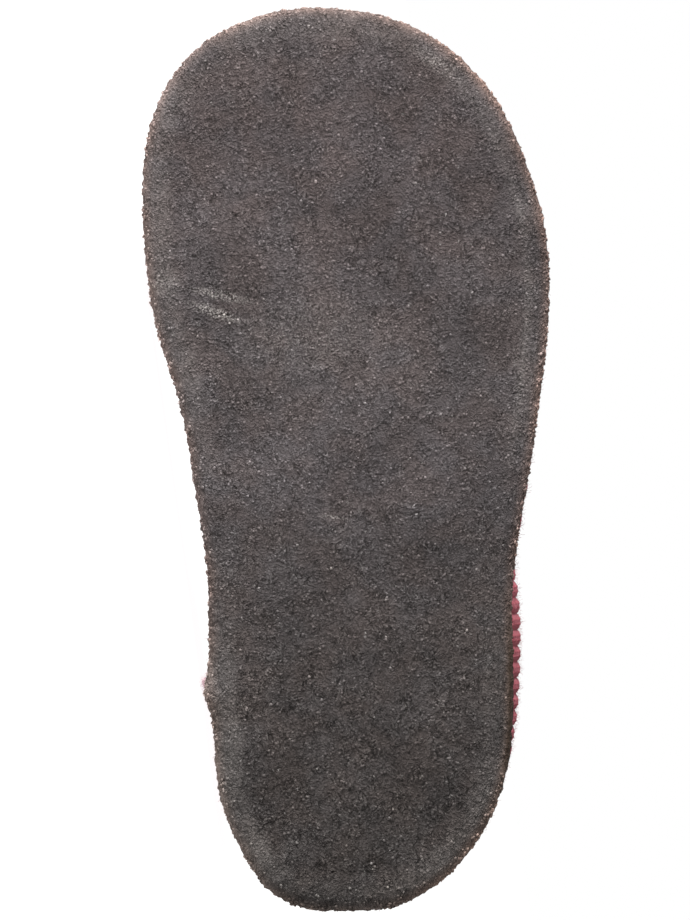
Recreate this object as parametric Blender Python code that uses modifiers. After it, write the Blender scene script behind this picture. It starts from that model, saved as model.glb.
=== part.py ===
"""A toddler's soft slipper for the left foot, in a turned construction: a split-suede outsole whose
edge is rolled up, a boiled-wool upper sewn to it inside out and turned, a knitted rib cuff round the
ankle and a felt insole.

Each piece is worked out upright, in millimetres: +X is the foot's medial side, +Y runs from heel to
toe, +Z is up and the ground is z = 0. At the end the slipper is laid down on its medial side, on the
sole's edge, the quarter and the cuff, with its underside towards -Y and its toe towards -X.
"""

import math

import bmesh
import bpy
import numpy as np
from mathutils import Matrix

MM = 0.001

# Lengths along the foot, in millimetres, and the gap that two touching pieces keep.
LENGTH = 146.0
GAP = 0.3

# The outline of the sole: half-breadths either side of the heel-to-toe axis at each station.
HEEL_TIP = (0.5, 0.0)
TOE_TIP = (5.2, LENGTH)
OUTLINE = (
    # station, medial, lateral
    (3.0, 12.6, 12.0),
    (9.0, 17.6, 18.6),
    (20.0, 21.5, 24.5),
    (36.0, 22.6, 26.0),
    (54.0, 23.0, 26.3),
    (68.0, 25.1, 28.4),
    (82.0, 28.2, 30.5),
    (96.0, 31.7, 32.0),
    (110.0, 33.4, 31.5),
    (121.0, 33.4, 28.4),
    (131.0, 30.9, 23.6),
    (139.5, 24.7, 15.8),
    (144.3, 16.0, 6.2),
)

# The outsole: a flat sheet of suede whose edge rolls up to the seam. The seam allowance under it
# makes a band round its edge, a little proud of the middle.
SUEDE = 1.8
BAND_WIDTH = 7.0
BAND_STEP = 0.8
BAND_RISE = 0.4
EDGE_RADIUS = 2.6
RIM_HEIGHT = 4.6
SEAM_INSET = 1.1
BALL_STATION = 100.0
TOE_SPRING = 2.5

# The insole, a sheet of felt that lies in the sole's tray.
INSOLE = 3.0
INSOLE_ROUND = 0.6

# The upper: a wall of boiled wool from the seam to the topline.
WALL = 2.2
UPPER_INSET = 0.4
SEAM_ROLL = 4.0
TOPLINE_MIDDLE = 40.0
TOPLINE_HALF_LENGTH = 33.0
TOPLINE_HALF_WIDTH = 23.0
TOPLINE_LATERAL_SHIFT = 2.0
TOPLINE_SQUARENESS = 2.6
TOPLINE_HEEL_HEIGHT = 41.0
TOPLINE_THROAT_HEIGHT = 46.0
TOPLINE_DIP = 2.5
TOPLINE_CROWDING = 0.48
TOE_BOX_RISE = 21.0
HEEL_RISE = 14.0
TOPLINE_DROP = 12.0
VAMP_REACH = 0.42
QUARTER_FULLNESS = 0.4
RIDGE_LEAN = 3.0

# The cuff: a folded band of knitted rib that stands on the topline.
CUFF_HEIGHT = 17.0
CUFF_CROWN = -0.6
CUFF_SECTION = (
    # height as a share of the cuff's, how far its middle stands out from the topline, thickness
    (0.00, -1.05, 2.2),
    (0.05, -0.80, 3.0),
    (0.24, 0.20, 3.2),
    (0.48, 0.70, 3.2),
    (0.72, 0.45, 3.2),
    (0.90, -0.20, 3.0),
    (0.97, -0.50, 2.0),
)

# How finely the pieces are divided.
SIDE_COLUMNS = 46
UPPER_ROWS = 14
ROW_CROWDING = 1.35
EDGE_STEPS = 4
OUTLINE_SAMPLES = 2400


def periodic_spline(points, samples):
    """A closed cubic curve through the points, as that many samples evenly spaced in chord length."""
    points = np.asarray(points, float)
    count = len(points)
    steps = np.linalg.norm(np.roll(points, -1, 0) - points, axis=1)
    knots = np.concatenate([[0.0], np.cumsum(steps)])
    before = np.roll(steps, 1)
    slopes = (np.roll(points, -1, 0) - points) / steps[:, None]
    system = np.zeros((count, count))
    for i in range(count):
        system[i, i - 1] = before[i]
        system[i, i] = 2.0 * (before[i] + steps[i])
        system[i, (i + 1) % count] = steps[i]
    bends = np.linalg.solve(system, 6.0 * (slopes - np.roll(slopes, 1, 0)))
    at = np.linspace(0.0, knots[-1], samples, endpoint=False)
    i = np.clip(np.searchsorted(knots, at, side="right") - 1, 0, count - 1)
    following = (i + 1) % count
    step = steps[i][:, None]
    left = (knots[i + 1] - at)[:, None]
    right = (at - knots[i])[:, None]
    curved = (bends[i] * left**3 + bends[following] * right**3) / (6.0 * step)
    straight_left = (points[i] / step - bends[i] * step / 6.0) * left
    straight_right = (points[following] / step - bends[following] * step / 6.0) * right
    return curved + straight_left + straight_right


def spaced_evenly(curve, count):
    """That many points, both ends included, at equal distances along an open polyline."""
    steps = np.linalg.norm(np.diff(curve, axis=0), axis=1)
    along = np.concatenate([[0.0], np.cumsum(steps)])
    wanted = np.linspace(0.0, along[-1], count)
    return np.stack([np.interp(wanted, along, curve[:, k]) for k in range(2)], axis=1)


def sole_outline():
    """The sole's outline: heel tip, medial side, toe tip, lateral side, with as many points on each side."""
    medial = [(row[1], row[0]) for row in OUTLINE]
    lateral = [(-row[2], row[0]) for row in reversed(OUTLINE)]
    curve = periodic_spline([HEEL_TIP, *medial, TOE_TIP, *lateral], OUTLINE_SAMPLES)
    heel = int(np.argmin(curve[:, 1]))
    curve = np.roll(curve, -heel, axis=0)
    toe = int(np.argmax(curve[:, 1]))
    closed = np.concatenate([curve, curve[:1]])
    forward = spaced_evenly(closed[: toe + 1], SIDE_COLUMNS + 1)
    back = spaced_evenly(closed[toe:], SIDE_COLUMNS + 1)
    return np.concatenate([forward[:-1], back[:-1]])


def outward_normals(ring):
    """The outward unit normals, in plan, of a closed ring that runs anticlockwise."""
    along = np.roll(ring, -1, 0) - np.roll(ring, 1, 0)
    normals = np.stack([along[:, 1], -along[:, 0]], axis=1)
    return normals / np.linalg.norm(normals, axis=1)[:, None]


def toe_spring(y):
    """How far the sole has risen from the ground at station y."""
    past_ball = np.clip((y - BALL_STATION) / (LENGTH - BALL_STATION), 0.0, 1.0)
    return TOE_SPRING * past_ball**2


def sprung(flat, height):
    """A ring in plan raised to a height above the sprung ground."""
    return np.column_stack([flat, height + toe_spring(flat[:, 1])])


def inset_ring(outline, inset, height):
    """The outline moved in by inset and raised to height, following the toe spring."""
    return sprung(outline - inset * outward_normals(outline), height)


def ring_mesh(name, rings, ladder_first=False, ladder_last=False, cyclic=False):
    """A mesh of quads between rings of equal length. A ladder closes an end ring from side to side."""
    columns = len(rings[0])
    half = columns // 2
    mesh = bmesh.new()
    grid = [[mesh.verts.new(point * MM) for point in ring] for ring in rings]
    pairs = list(zip(grid, grid[1:]))
    if cyclic:
        pairs.append((grid[-1], grid[0]))
    for lower, upper in pairs:
        for i in range(columns):
            j = (i + 1) % columns
            mesh.faces.new((lower[i], lower[j], upper[j], upper[i]))
    for wanted, ring in ((ladder_first, grid[0]), (ladder_last, grid[-1])):
        if not wanted:
            continue
        mesh.faces.new((ring[0], ring[1], ring[-1]))
        mesh.faces.new((ring[half], ring[half + 1], ring[half - 1]))
        for i in range(1, half - 1):
            mesh.faces.new((ring[i], ring[i + 1], ring[-i - 1], ring[-i]))
    bmesh.ops.recalc_face_normals(mesh, faces=mesh.faces)
    data = bpy.data.meshes.new(name)
    mesh.to_mesh(data)
    mesh.free()
    piece = bpy.data.objects.new(name, data)
    slipper.objects.link(piece)
    data.shade_smooth()
    data.set_sharp_from_angle(angle=math.radians(50.0))
    return piece


def finish(piece, colour, roughness):
    """Gives a piece a material of its own, in linear colour."""
    material = bpy.data.materials.new(piece.name)
    material.use_nodes = True
    shader = material.node_tree.nodes["Principled BSDF"]
    shader.inputs["Base Color"].default_value = (*colour, 1.0)
    shader.inputs["Roughness"].default_value = roughness
    shader.inputs["Metallic"].default_value = 0.0
    piece.data.materials.append(material)
    return piece


def make_outsole(outline):
    """The suede tray: underside, rolled edge, rim, then the same way back down inside."""
    rings = [
        inset_ring(outline, BAND_WIDTH + BAND_STEP, BAND_RISE),
        inset_ring(outline, BAND_WIDTH, 0.0),
    ]
    for step in range(EDGE_STEPS + 1):
        turn = 0.5 * math.pi * step / EDGE_STEPS
        inset = EDGE_RADIUS * (1.0 - math.sin(turn))
        rings.append(inset_ring(outline, inset, EDGE_RADIUS * (1.0 - math.cos(turn))))
    rings.append(inset_ring(outline, SEAM_INSET, RIM_HEIGHT))
    rings.append(inset_ring(outline, SEAM_INSET + SUEDE, RIM_HEIGHT))
    inner_radius = EDGE_RADIUS - SUEDE
    floor = BAND_RISE + SUEDE
    for step in reversed(range(EDGE_STEPS)):
        turn = 0.5 * math.pi * step / EDGE_STEPS
        inset = SUEDE + SEAM_INSET + inner_radius * (1.0 - math.sin(turn))
        rings.append(inset_ring(outline, inset, floor + inner_radius * (1.0 - math.cos(turn))))
    return ring_mesh("outsole", rings, ladder_first=True, ladder_last=True)


def make_insole(outline):
    """The felt sheet inside the tray, its edges a little rounded."""
    inset = SEAM_INSET + max(SUEDE, WALL) + GAP
    bottom = BAND_RISE + SUEDE + GAP
    top = bottom + INSOLE
    rings = [
        inset_ring(outline, inset + INSOLE_ROUND, bottom),
        inset_ring(outline, inset, bottom + INSOLE_ROUND),
        inset_ring(outline, inset, top - INSOLE_ROUND),
        inset_ring(outline, inset + INSOLE_ROUND, top),
    ]
    return ring_mesh("insole", rings, ladder_first=True, ladder_last=True)


def topline(count):
    """The upper's top edge: a squarish oval round the ankle, higher at the throat than over the sides."""
    share = np.arange(count) / count
    side = np.where(share <= 0.5, share, 1.0 - share) * 2.0
    turn = math.pi * side / (side + TOPLINE_CROWDING * (1.0 - side))
    medial = np.where(share <= 0.5, 1.0, -1.0)
    power = 2.0 / TOPLINE_SQUARENESS
    across = np.sin(turn) ** power
    along = -np.sign(np.cos(turn)) * np.abs(np.cos(turn)) ** power
    x = medial * TOPLINE_HALF_WIDTH * across - TOPLINE_LATERAL_SHIFT
    y = TOPLINE_MIDDLE + TOPLINE_HALF_LENGTH * along
    forward = 0.5 * (along + 1.0)
    z = TOPLINE_HEEL_HEIGHT + (TOPLINE_THROAT_HEIGHT - TOPLINE_HEEL_HEIGHT) * forward
    return np.column_stack([x, y, z - TOPLINE_DIP * (1.0 - along**2)])


def upper_surface(outline):
    """The upper's outer side: rings from the seam to the topline, each column a cubic curve that rises
    from the sole's edge, turns in over the foot and meets the topline."""
    normals = np.column_stack([outward_normals(outline), np.zeros(len(outline))])
    seam = inset_ring(outline, UPPER_INSET, RIM_HEIGHT + GAP)
    top = topline(len(outline))
    inward = (top - seam) * np.array([1.0, 1.0, 0.0])
    reach = np.linalg.norm(inward, axis=1)
    forward = np.clip(reach / reach.max(), 0.0, 1.0)[:, None]
    up = np.array([0.0, 0.0, 1.0])
    first = seam + up * (HEEL_RISE + (TOE_BOX_RISE - HEEL_RISE) * forward)
    first = first + normals * QUARTER_FULLNESS * (1.0 - forward)
    second = top - up * TOPLINE_DROP - VAMP_REACH * inward
    second = second + normals * QUARTER_FULLNESS * (1.0 - forward)
    rings = []
    for row in range(UPPER_ROWS + 1):
        t = (row / UPPER_ROWS) ** ROW_CROWDING
        ring = (
            (1.0 - t) ** 3 * seam
            + 3.0 * t * (1.0 - t) ** 2 * first
            + 3.0 * t**2 * (1.0 - t) * second
            + t**3 * top
        )
        near_seam = np.clip(1.0 - (ring[:, 2] - seam[:, 2]) / SEAM_ROLL, 0.0, 1.0)
        ring = ring - normals * ((SEAM_INSET - UPPER_INSET) * near_seam**2)[:, None]
        lean = RIDGE_LEAN * 6.75 * t**2 * (1.0 - t)
        rings.append(ring + forward * np.array([lean, 0.0, 0.0]))
    return rings


def make_upper(outline):
    """The wool wall, its thickness laid inwards from the outer side."""
    upper = ring_mesh("upper", upper_surface(outline))
    wall = upper.modifiers.new("wall", "SOLIDIFY")
    wall.thickness = WALL * MM
    wall.offset = -1.0
    wall.use_even_offset = True
    return upper


def make_cuff():
    """The rib cuff: a closed band that bulges over the topline and folds in at its top."""
    base = topline(2 * SIDE_COLUMNS)
    normals = np.column_stack([outward_normals(base[:, :2]), np.zeros(len(base))])
    up = np.array([0.0, 0.0, 1.0])

    def ring(share, stand):
        return base + up * (GAP + CUFF_HEIGHT * share) + normals * stand

    outer = [ring(share, middle + 0.5 * thick) for share, middle, thick in CUFF_SECTION]
    inner = [ring(share, middle - 0.5 * thick) for share, middle, thick in CUFF_SECTION]
    return ring_mesh("cuff", [*outer, ring(1.0, CUFF_CROWN), *reversed(inner)], cyclic=True)


def support(slopes, points):
    """How far out the plane x = a + b*y + c*z must stand to clear every point."""
    return float((points[:, 0] - points[:, 1:] @ np.asarray(slopes)).max())


def golden_minimum(function, low, high):
    """The lowest value of a convex function of one number, and where it is."""
    share = 0.5 * (math.sqrt(5.0) - 1.0)
    a, b = high - share * (high - low), low + share * (high - low)
    at_a, at_b = function(a), function(b)
    while high - low > 1e-6:
        if at_a < at_b:
            high, b, at_b = b, a, at_a
            a = high - share * (high - low)
            at_a = function(a)
        else:
            low, a, at_a = a, b, at_b
            b = low + share * (high - low)
            at_b = function(b)
    middle = 0.5 * (low + high)
    return function(middle), middle


def resting_plane(points, centre):
    """The slopes b and c of the plane on the medial side that the slipper comes to rest on: of all
    planes that clear every point, the one nearest its centre."""

    def height(b, c):
        return support((b, c), points) + b * centre[1] + c * centre[2]

    def best_over_c(b):
        return golden_minimum(lambda c: height(b, c), -0.5, 0.5)

    _, b = golden_minimum(lambda b: best_over_c(b)[0], -0.5, 0.5)
    return b, best_over_c(b)[1]


def lay_down(pieces):
    """Turns the pieces onto their medial side and puts the origin at the box's bottom centre."""
    points = np.concatenate([[vertex.co for vertex in piece.data.vertices] for piece in pieces])
    b, c = resting_plane(points.astype(float), points.mean(axis=0))
    down = np.array([1.0, -b, -c])
    down /= np.linalg.norm(down)
    sole_up = np.array([0.0, 0.0, 1.0]) - down * down[2]
    sole_up /= np.linalg.norm(sole_up)
    turn = np.array([-np.cross(sole_up, down), sole_up, -down])
    turned = points @ turn.T
    low, high = turned.min(axis=0), turned.max(axis=0)
    shift = -np.array([0.5 * (low[0] + high[0]), 0.5 * (low[1] + high[1]), low[2]])
    place = Matrix.Translation(shift) @ Matrix(turn.tolist()).to_4x4()
    for piece in pieces:
        piece.matrix_world = place


for left_over in list(bpy.data.objects):
    bpy.data.objects.remove(left_over)
slipper = bpy.data.collections.new("slipper")
bpy.context.scene.collection.children.link(slipper)

edge = sole_outline()
outsole = finish(make_outsole(edge), (0.105, 0.092, 0.088), 0.95)
insole = finish(make_insole(edge), (0.48, 0.43, 0.37), 0.95)
upper = finish(make_upper(edge), (0.42, 0.055, 0.12), 0.9)
cuff = finish(make_cuff(), (0.46, 0.06, 0.13), 0.9)
lay_down([outsole, insole, upper, cuff])
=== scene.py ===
"""The looks of a toddler's soft slipper for the left foot, which lies on its medial side.

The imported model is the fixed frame. Each sub-assembly is a class that holds its sizes, builds its
meshes and dresses them. Until Last.place turns points into the frame's metres, lengths are in
millimetres in the foot's own axes: x towards the medial side, y from heel to toe, z up from the
ground. Angles are in degrees, apart from Nap.tilt.
"""

import logging
import math
from dataclasses import dataclass
from enum import Enum
from functools import partial

import bpy
import numpy as np
from mathutils import Matrix, Vector


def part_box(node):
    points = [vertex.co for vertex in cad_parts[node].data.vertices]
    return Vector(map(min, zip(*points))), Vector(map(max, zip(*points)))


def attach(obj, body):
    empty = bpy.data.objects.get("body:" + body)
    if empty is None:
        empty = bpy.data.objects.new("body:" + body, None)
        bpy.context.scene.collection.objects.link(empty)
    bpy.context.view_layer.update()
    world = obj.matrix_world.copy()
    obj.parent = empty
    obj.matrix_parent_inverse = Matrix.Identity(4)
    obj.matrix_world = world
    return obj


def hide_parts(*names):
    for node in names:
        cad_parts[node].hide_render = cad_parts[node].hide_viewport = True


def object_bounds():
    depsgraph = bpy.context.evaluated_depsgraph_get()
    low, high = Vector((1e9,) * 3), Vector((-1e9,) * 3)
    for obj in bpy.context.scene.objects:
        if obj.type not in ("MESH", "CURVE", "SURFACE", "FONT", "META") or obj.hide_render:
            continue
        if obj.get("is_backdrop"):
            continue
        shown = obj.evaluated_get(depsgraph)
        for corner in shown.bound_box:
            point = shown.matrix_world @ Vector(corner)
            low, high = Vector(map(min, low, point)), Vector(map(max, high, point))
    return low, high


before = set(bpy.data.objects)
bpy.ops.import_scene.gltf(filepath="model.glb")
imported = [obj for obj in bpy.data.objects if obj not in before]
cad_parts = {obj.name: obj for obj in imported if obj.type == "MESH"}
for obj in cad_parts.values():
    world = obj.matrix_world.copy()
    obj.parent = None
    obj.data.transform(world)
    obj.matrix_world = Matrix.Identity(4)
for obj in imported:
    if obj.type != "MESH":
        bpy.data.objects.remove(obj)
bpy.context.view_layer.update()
MM = 0.001
UP = np.array([0.0, 0.0, 1.0])
log = logging.getLogger("slipper")

Tree = bpy.types.NodeTree
Node = bpy.types.Node
Output = bpy.types.NodeSocket
Piece = bpy.types.Object
Material = bpy.types.Material
Source = float | int | str | bool | tuple | Material | Output | Node | None
Stops = tuple[tuple[float, str], ...]
# where a change starts and ends, and the values that it goes between
Ramp = tuple[float, float, float, float]


class Kind(Enum):
    """What a geometry tree's named input holds, as the socket type that Blender uses."""

    SIZE = "NodeSocketFloat"
    COUNT = "NodeSocketInt"
    FINISH = "NodeSocketMaterial"


def linear(code: str) -> tuple[float, float, float, float]:
    """An sRGB hex colour as linear red, green and blue, with full alpha."""
    shares = [int(code[i : i + 2], 16) / 255.0 for i in (1, 3, 5)]
    curve = [c / 12.92 if c <= 0.04045 else ((c + 0.055) / 1.055) ** 2.4 for c in shares]
    return (*curve, 1.0)


def fill(node: Node, sockets: dict[str | int, Source]) -> None:
    """Puts values, outputs or nodes' first outputs into a node's sockets, and leaves None out."""
    for key, value in sockets.items():
        if isinstance(value, Node):
            value = value.outputs[0]
        if isinstance(value, Output):
            node.id_data.links.new(value, node.inputs[key])
        elif value is not None:
            node.inputs[key].default_value = value


def add(tree: Tree, kind: str, *values: Source, stops: Stops = (), **details: Source) -> Node:
    """Adds a node with its settings and its links.

    Args:
        tree: the tree that gets the node.
        kind: the node's type, where a plain name is a shader node's.
        values: what goes into its first sockets: a value, an output, a node for its first output,
            or None to leave the socket as it is.
        stops: the places and hex colours of a colour ramp.
        details: its settings, and what goes into its named sockets, which start with a capital
            and have underscores for spaces.

    Returns:
        The new node.
    """
    node = tree.nodes.new(kind if "Node" in kind else "ShaderNode" + kind)
    sockets = dict(enumerate(values))
    for name, value in details.items():
        if name[0].isupper():
            sockets[name.replace("_", " ")] = value
        else:
            setattr(node, name, value)
    fill(node, sockets)
    if stops:
        elements = node.color_ramp.elements
        while len(elements) < len(stops):
            elements.new(1.0)
        for element, (place, code) in zip(elements, stops):
            element.position, element.color = place, linear(code)
    return node


def put(name: str, data: bpy.types.ID) -> Piece:
    """Makes an object of a mesh, a lamp or a camera and puts it in the scene."""
    piece = bpy.data.objects.new(name, data)
    bpy.context.scene.collection.objects.link(piece)
    return piece


def bare_finish(name: str) -> tuple[Material, partial, Node]:
    """A new material, the function that adds nodes to it, and its shader."""
    material = bpy.data.materials.new(name)
    material.use_nodes = True
    tree = material.node_tree
    return material, partial(add, tree), tree.nodes["Principled BSDF"]


class GeometryTree:
    """A geometry node tree with named inputs that is applied to a piece once, as a plain mesh."""

    def __init__(self, name: str, **inputs: float | int | Material) -> None:
        """Starts a tree.

        Args:
            name: the tree's name.
            inputs: the named inputs and their values, with underscores for spaces.
        """
        self.tree = bpy.data.node_groups.new(name, "GeometryNodeTree")
        face = self.tree.interface
        face.new_socket("Geometry", in_out="INPUT", socket_type="NodeSocketGeometry")
        face.new_socket("Geometry", in_out="OUTPUT", socket_type="NodeSocketGeometry")
        self.values = {}
        for key, value in inputs.items():
            kind = Kind.SIZE if isinstance(value, float) else Kind.COUNT
            kind = Kind.FINISH if isinstance(value, Material) else kind
            title = key.replace("_", " ")
            socket = face.new_socket(title, in_out="INPUT", socket_type=kind.value)
            self.values[socket.identifier] = value
        self.inputs = self.tree.nodes.new("NodeGroupInput").outputs
        self.end = self.tree.nodes.new("NodeGroupOutput")
        self.add = partial(add, self.tree)

    def move(self, geometry: Source, height: Source, finish: Output) -> None:
        """Moves a surface out by a height in millimetres, keeps the height as "relief", and ends.

        Args:
            geometry: the surface.
            height: how far each point goes out along its normal.
            finish: the surface's material.
        """
        stored = self.add(
            "GeometryNodeStoreNamedAttribute",
            geometry,
            Name="relief",
            Value=height,
            data_type="FLOAT",
            domain="POINT",
        )
        metres = self.add("Math", height, MM, operation="MULTIPLY")
        normal = self.add("GeometryNodeInputNormal")
        offset = self.add("VectorMath", normal, Scale=metres, operation="SCALE")
        self.close(self.add("GeometryNodeSetPosition", stored, Offset=offset), finish)

    def close(self, geometry: Source, finish: Output) -> None:
        """Ends the tree: makes its instances real and gives them their finish."""
        real = self.add("GeometryNodeRealizeInstances", geometry)
        dressed = self.add("GeometryNodeSetMaterial", real, Material=finish)
        self.tree.links.new(dressed.outputs[0], self.end.inputs[0])

    def apply(self, piece: Piece) -> Piece:
        """Runs the tree on a piece and keeps the result as the piece's own mesh.

        Args:
            piece: the object whose mesh goes in.

        Returns:
            The same object, with its new mesh and no modifier.
        """
        modifier = piece.modifiers.new(self.tree.name, "NODES")
        modifier.node_group = self.tree
        for identifier, value in self.values.items():
            modifier[identifier] = value
        graph = bpy.context.evaluated_depsgraph_get()
        result = bpy.data.meshes.new_from_object(
            piece.evaluated_get(graph), preserve_all_data_layers=True, depsgraph=graph
        )
        piece.modifiers.clear()
        piece.data = result
        result.name = piece.name
        result.shade_smooth()
        log.info("%s: %d faces", piece.name, len(result.polygons))
        return piece


def lumpy(name: str, size: float, height: float, finish: Material, **how: float) -> GeometryTree:
    """A tree that raises a piece's surface in soft lumps.

    Args:
        name: the tree's name.
        size: how wide a lump is.
        height: how high it can be.
        finish: the piece's material.
        how: "detail", the noise's octaves, and "middle", its value that stays where it is.

    Returns:
        The tree.
    """
    relief = GeometryTree(name, Lump_size=size, Lump_height=height, Finish=finish)
    web, feed = relief.add, relief.inputs
    foot = web("GeometryNodeInputNamedAttribute", "foot", data_type="FLOAT_VECTOR")
    scale = web("Math", 1.0, feed["Lump size"], operation="DIVIDE")
    lump = web("TexNoise", Vector=foot, Scale=scale, Detail=how.get("detail", 2.0))
    lump = web("Math", lump, how.get("middle", 0.5), operation="SUBTRACT")
    lump = web("Math", lump, feed["Lump height"], operation="MULTIPLY")
    relief.move(feed["Geometry"], lump, feed["Finish"])
    return relief


class Surface:
    """Points and faces of a closed surface that is put together ring by ring."""

    def __init__(self) -> None:
        """Starts an empty surface."""
        self.points: list[np.ndarray] = []
        self.faces: list[np.ndarray] = []
        self.count = 0

    def ring(self, points: np.ndarray) -> np.ndarray:
        """Adds points and returns their numbers."""
        self.points.append(points)
        numbers = np.arange(self.count, self.count + len(points))
        self.count += len(points)
        return numbers

    def strip(self, first: np.ndarray, second: np.ndarray) -> None:
        """Adds the faces between two closed rings of the same length."""
        after_first, after_second = np.roll(first, -1), np.roll(second, -1)
        self.faces.append(np.stack([first, after_first, after_second, second], axis=1))

    def stack(self, rings: list[np.ndarray]) -> list[np.ndarray]:
        """Adds rings one after another with the faces between them, and returns their numbers."""
        numbers = [self.ring(ring) for ring in rings]
        for first, second in zip(numbers, numbers[1:]):
            self.strip(first, second)
        return numbers

    def ladder(self, numbers: np.ndarray, ring: np.ndarray, rungs: int, last: bool = False) -> None:
        """Closes a ring with rows of faces from its medial to its lateral side.

        Args:
            numbers: the ring's point numbers, from the heel's tip round to it.
            ring: the ring's points.
            rungs: how many faces each row has.
            last: whether the ring is the stack's last one, so that the faces look the other way.
        """
        turn = -1 if last else 1
        half = len(numbers) // 2
        share = np.linspace(0.0, 1.0, rungs + 1)[None, 1:-1, None]
        left, right = ring[1:half], ring[:half:-1]
        inner = left[:, None, :] * (1.0 - share) + right[:, None, :] * share
        middle = self.ring(inner.reshape(-1, 3)).reshape(half - 1, rungs - 1)
        rows = np.column_stack([numbers[1:half], middle, numbers[:half:-1]])
        quads = [rows[:-1, :-1], rows[:-1, 1:], rows[1:, 1:], rows[1:, :-1]]
        self.faces.append(np.stack(quads, axis=-1).reshape(-1, 4)[:, ::turn])
        for tip, row in ((numbers[0], rows[0]), (numbers[half], rows[-1][::-1])):
            tips = np.full(rungs, tip)
            self.faces.append(np.stack([tips, row[1:], row[:-1]], axis=1)[:, ::turn])

    def piece(self, name: str, last: "Last") -> Piece:
        """Makes the object, smooth, with its faces outwards and its point in the frame's metres.

        Args:
            name: the object's name.
            last: the last whose axes the points are in.

        Returns:
            The object, with the points' foot coordinates kept in the attribute "foot".
        """
        points = np.concatenate(self.points)
        mesh = bpy.data.meshes.new(name)
        faces = [face for block in self.faces for face in block.tolist()]
        mesh.from_pydata(last.place(points).tolist(), [], faces)
        mesh.update()
        if enclosed(mesh) < 0.0:
            mesh.flip_normals()
        mesh.shade_smooth()
        foot = mesh.attributes.new("foot", "FLOAT_VECTOR", "POINT")
        foot.data.foreach_set("vector", points.astype(np.float32).ravel())
        return put(name, mesh)


def enclosed(mesh: bpy.types.Mesh) -> float:
    """The volume that a closed mesh holds, negative where its faces point inwards."""
    mesh.calc_loop_triangles()
    points = np.empty(len(mesh.vertices) * 3)
    mesh.vertices.foreach_get("co", points)
    corners = np.empty(len(mesh.loop_triangles) * 3, int)
    mesh.loop_triangles.foreach_get("vertices", corners)
    a, b, c = points.reshape(-1, 3)[corners.reshape(-1, 3)].transpose(1, 0, 2)
    return float((a * np.cross(b, c)).sum() / 6.0)


def mark(piece: Piece, name: str, values: np.ndarray) -> None:
    """Keeps one number for each point of a piece under a name."""
    attribute = piece.data.attributes.new(name, "FLOAT", "POINT")
    attribute.data.foreach_set("value", np.asarray(values, np.float32).ravel())


def periodic_spline(points: np.ndarray, samples: int) -> np.ndarray:
    """A closed cubic curve through the points.

    Args:
        points: the points in order round the curve.
        samples: how many points the result has.

    Returns:
        The samples, evenly spaced in chord length.
    """
    count = len(points)
    steps = np.linalg.norm(np.roll(points, -1, 0) - points, axis=1)
    knots = np.concatenate([[0.0], np.cumsum(steps)])
    before = np.roll(steps, 1)
    slopes = (np.roll(points, -1, 0) - points) / steps[:, None]
    system = np.zeros((count, count))
    for i in range(count):
        system[i, i - 1] = before[i]
        system[i, i] = 2.0 * (before[i] + steps[i])
        system[i, (i + 1) % count] = steps[i]
    bends = np.linalg.solve(system, 6.0 * (slopes - np.roll(slopes, 1, 0)))
    at = np.linspace(0.0, knots[-1], samples, endpoint=False)
    i = np.clip(np.searchsorted(knots, at, side="right") - 1, 0, count - 1)
    following = (i + 1) % count
    step = steps[i][:, None]
    left, right = (knots[i + 1] - at)[:, None], (at - knots[i])[:, None]
    curved = (bends[i] * left**3 + bends[following] * right**3) / (6.0 * step)
    from_left = (points[i] / step - bends[i] * step / 6.0) * left
    from_right = (points[following] / step - bends[following] * step / 6.0) * right
    return curved + from_left + from_right


def spaced_evenly(line: np.ndarray, count: int) -> np.ndarray:
    """That many points, both ends included, at equal distances along an open line."""
    steps = np.linalg.norm(np.diff(line, axis=0), axis=1)
    along = np.concatenate([[0.0], np.cumsum(steps)])
    wanted = np.linspace(0.0, along[-1], count)
    return np.stack([np.interp(wanted, along, column) for column in line.T], axis=1)


def outward(ring: np.ndarray) -> np.ndarray:
    """The outward unit normals, in plan, of a closed ring that runs from heel to medial side."""
    along = np.roll(ring, -1, 0) - np.roll(ring, 1, 0)
    normals = np.stack([along[:, 1], -along[:, 0], np.zeros(len(ring))], axis=1)
    return normals / np.linalg.norm(normals, axis=1)[:, None]


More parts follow.
